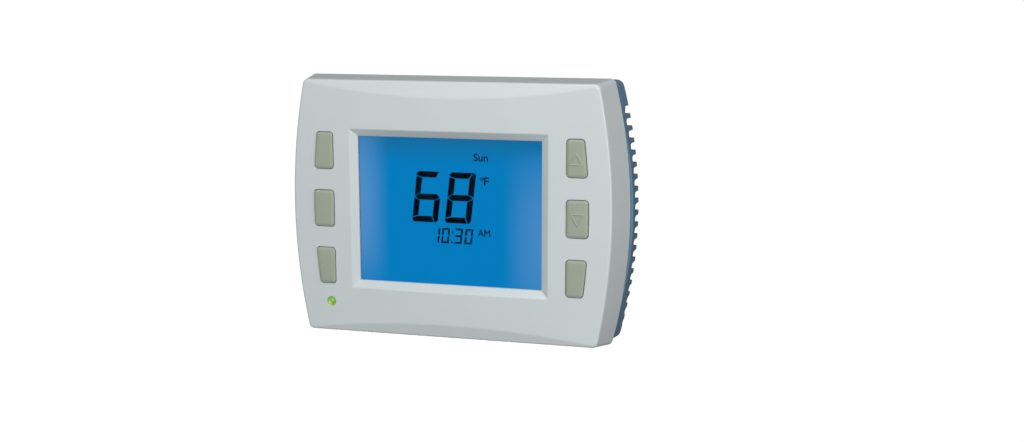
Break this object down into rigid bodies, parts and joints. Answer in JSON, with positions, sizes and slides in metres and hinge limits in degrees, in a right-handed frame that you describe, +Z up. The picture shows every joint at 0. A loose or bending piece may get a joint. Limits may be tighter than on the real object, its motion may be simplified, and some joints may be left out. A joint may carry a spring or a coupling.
{
  "type": "wall thermostat",
  "caption": "Wide wall thermostat with a bowed grey housing, a backlit blue display between two columns of keys, and a blue vented wall base with terminals.",
  "frame": {"origin": "middle of the base's rear face, on the wall", "axes": "+X to the right as the user sees the face, +Y into the wall, +Z up; the face looks along -Y"},
  "size_m": [0.1524, 0.0307, 0.1136],
  "materials": {
    "base_plastic": "fine matt, slate blue",
    "housing_plastic": "satin silver grey with a fine moulded grain",
    "key_rubber": "smooth grey-green silicone",
    "clear_window": "clear polished acrylic",
    "lit_display": "blue backlit film with dark segments",
    "display_glass": "clear glass cell",
    "light_guide": "clear acrylic block",
    "white_sheet": "white reflective film",
    "white_plastic": "plain moulded",
    "black_plastic": "plain moulded",
    "terminal_plastic": "plain moulded, green",
    "relay_plastic": "glossy moulded, blue",
    "capacitor_sleeve": "shrunk film sleeve",
    "circuit_board": "green solder mask",
    "contact_rubber": "dark conductive silicone",
    "contact_brass": "gold flashed",
    "zinc_steel": "zinc plated",
    "can_metal": "nickel plated",
    "led_body": "small white light source",
    "green_led": "tinted green epoxy",
    "fuse_plastic": "plain moulded, brown"
  },
  "bodies": {
    "base": {"wall_base": "base_plastic", "base_board": "circuit_board", "base_board_screws": "zinc_steel", "terminal_blocks": "terminal_plastic", "terminal_clamps": "contact_brass", "terminal_screws": "zinc_steel", "relays": "relay_plastic", "power_capacitors": "capacitor_sleeve", "rectifier": "black_plastic", "fuse": "fuse_plastic", "header_socket": "black_plastic"},
    "front": {"front_housing": "housing_plastic", "window_lens": "clear_window", "lcd_polarizer": "lit_display", "lcd_glass": "display_glass", "lcd_holder": "white_plastic", "light_guide": "light_guide", "reflector_sheet": "white_sheet", "backlight_leds": "led_body", "zebra_strips": "contact_rubber", "main_board": "circuit_board", "main_board_screws": "zinc_steel", "microcontroller": "black_plastic", "driver_chips": "black_plastic", "chip_resistors": "black_plastic", "crystal": "can_metal", "coin_cell": "can_metal", "cell_clip": "can_metal", "thermistor": "black_plastic", "pin_strip": "black_plastic", "header_pins": "contact_brass", "status_led": "green_led", "led_spacer": "white_plastic", "key_contacts": "contact_brass", "keypad_left": "key_rubber", "keypad_right": "key_rubber"},
    "left_top": {"key_left_top": "key_rubber"},
    "left_middle": {"key_left_middle": "key_rubber"},
    "left_bottom": {"key_left_bottom": "key_rubber"},
    "right_top": {"key_right_top": "key_rubber"},
    "right_middle": {"key_right_middle": "key_rubber"},
    "right_bottom": {"key_right_bottom": "key_rubber"}
  },
  "joints": [
    {"name": "front_pull_off", "type": "slide", "parent": "base", "child": "front", "axis": [0, -1, 0], "range_m": [0, 0.04]},
    {"name": "key_left_top_press", "type": "slide", "parent": "front", "child": "left_top", "axis": [0, 1, 0], "range_m": [0, 0.001], "stiffness_N_per_m": 800, "springref_m": -0.0008},
    {"name": "key_left_middle_press", "type": "slide", "parent": "front", "child": "left_middle", "axis": [0, 1, 0], "range_m": [0, 0.001], "stiffness_N_per_m": 800, "springref_m": -0.0008},
    {"name": "key_left_bottom_press", "type": "slide", "parent": "front", "child": "left_bottom", "axis": [0, 1, 0], "range_m": [0, 0.001], "stiffness_N_per_m": 800, "springref_m": -0.0008},
    {"name": "key_right_top_press", "type": "slide", "parent": "front", "child": "right_top", "axis": [0, 1, 0], "range_m": [0, 0.001], "stiffness_N_per_m": 800, "springref_m": -0.0008},
    {"name": "key_right_middle_press", "type": "slide", "parent": "front", "child": "right_middle", "axis": [0, 1, 0], "range_m": [0, 0.001], "stiffness_N_per_m": 800, "springref_m": -0.0008},
    {"name": "key_right_bottom_press", "type": "slide", "parent": "front", "child": "right_bottom", "axis": [0, 1, 0], "range_m": [0, 0.001], "stiffness_N_per_m": 800, "springref_m": -0.0008}
  ]
}
